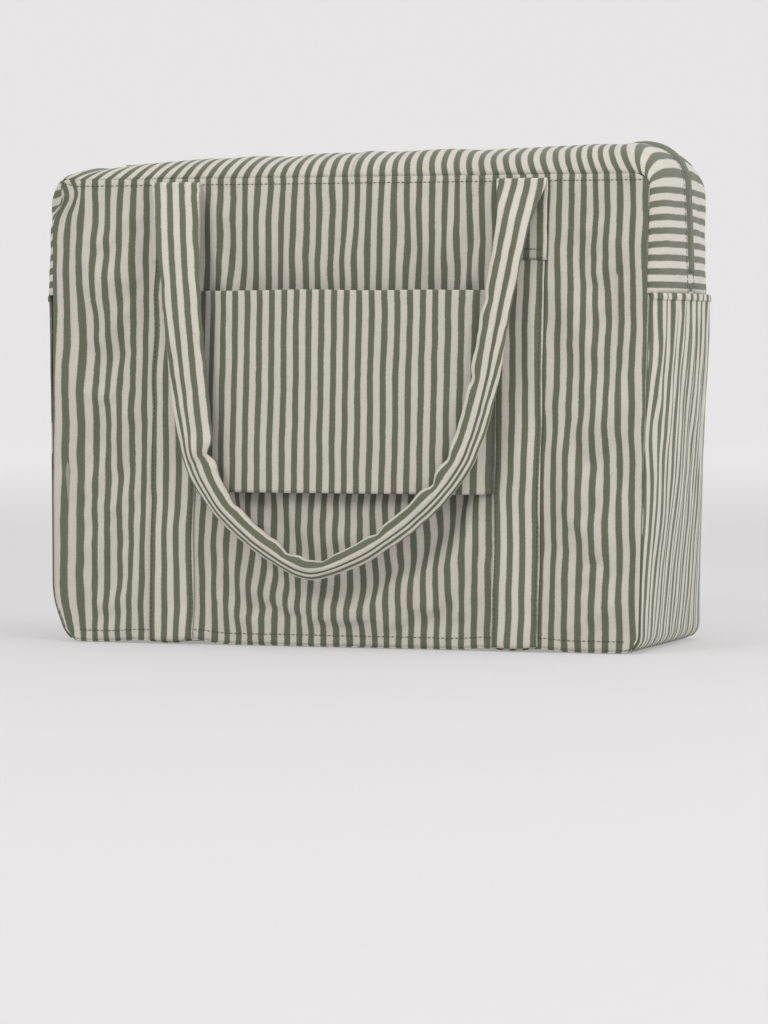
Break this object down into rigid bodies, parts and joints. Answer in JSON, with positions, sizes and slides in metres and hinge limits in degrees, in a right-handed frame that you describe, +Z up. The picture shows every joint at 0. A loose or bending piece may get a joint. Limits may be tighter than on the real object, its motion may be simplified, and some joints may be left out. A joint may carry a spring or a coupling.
{
  "type": "weekender bag",
  "caption": "Boxy striped cloth weekender bag with a zipped puffed top, two hanging carry handles, side pockets and a trolley sleeve on its back.",
  "frame": {"origin": "middle of the underside of the base, on the ground", "axes": "+Z up, +X along the bag's length towards the right as its back is seen, -Y faces the back, which carries the trolley sleeve"},
  "size_m": [0.4808, 0.238, 0.3573],
  "materials": {
    "striped_cloth": "woven cloth with narrow sage green and cream stripes, matt with a faint sheen",
    "striped_strap": "the same striped cloth, folded and stitched, stripes along its length",
    "sage_tape": "sage green woven tape",
    "sage_coil": "sage green nylon coil",
    "sage_metal": "satin sage paint",
    "lining": "plain cream lining cloth"
  },
  "bodies": {
    "bag": {"base_panel": "striped_cloth", "luggage_sleeve": "striped_cloth", "laptop_sleeve": "lining", "back_panel": "striped_cloth", "front_panel": "striped_cloth", "back_seam_binding": "sage_tape", "front_seam_binding": "sage_tape", "back_left_strap_strip": "striped_strap", "back_left_handle_root": "striped_strap", "back_left_gusset_end": "striped_cloth", "back_left_zip_end": "sage_tape", "back_right_strap_strip": "striped_strap", "back_right_handle_root": "striped_strap", "back_right_gusset_end": "striped_cloth", "back_right_zip_end": "sage_tape", "front_left_strap_strip": "striped_strap", "front_left_handle_root": "striped_strap", "front_left_gusset_end": "striped_cloth", "front_left_zip_end": "sage_tape", "front_right_strap_strip": "striped_strap", "front_right_handle_root": "striped_strap", "front_right_gusset_end": "striped_cloth", "front_right_zip_end": "sage_tape", "left_side_panel": "striped_cloth", "left_side_pocket": "striped_cloth", "left_zip_stop": "sage_metal", "left_zip_end_tab": "striped_cloth", "right_side_panel": "striped_cloth", "right_side_pocket": "striped_cloth", "right_zip_stop": "sage_metal", "right_zip_end_tab": "striped_cloth"},
    "back_flap": {"back_zip_flap": "striped_cloth", "back_zip_tape": "sage_tape", "back_zip_coil": "sage_coil"},
    "back_carry_handle": {"back_handle": "striped_strap"},
    "front_flap": {"front_zip_flap": "striped_cloth", "front_zip_tape": "sage_tape", "front_zip_coil": "sage_coil"},
    "front_carry_handle": {"front_handle": "striped_strap"},
    "slider": {"zip_slider": "sage_metal", "zip_pull_pin": "sage_metal"},
    "pull": {"zip_pull": "sage_metal"}
  },
  "joints": [
    {"name": "back_flap_hinge", "type": "hinge", "parent": "bag", "child": "back_flap", "pos_m": [0, -0.087, 0.333], "axis": [1, 0, 0], "range_deg": [0, 70]},
    {"name": "front_flap_hinge", "type": "hinge", "parent": "bag", "child": "front_flap", "pos_m": [0, 0.087, 0.333], "axis": [-1, 0, 0], "range_deg": [0, 70]},
    {"name": "back_handle_swing", "type": "hinge", "parent": "bag", "child": "back_carry_handle", "pos_m": [0, -0.0914, 0.328], "axis": [-1, 0, 0], "range_deg": [0, 150]},
    {"name": "front_handle_swing", "type": "hinge", "parent": "bag", "child": "front_carry_handle", "pos_m": [0, 0.0914, 0.328], "axis": [1, 0, 0], "range_deg": [0, 150]},
    {"name": "zip_slide", "type": "slide", "parent": "bag", "child": "slider", "axis": [0.9993, 0, 0.0363], "range_m": [0, 0.345]},
    {"name": "zip_pull_hinge", "type": "hinge", "parent": "slider", "child": "pull", "pos_m": [-0.17256, 0, 0.34713], "axis": [0, 1, 0], "range_deg": [0, 170]}
  ]
}
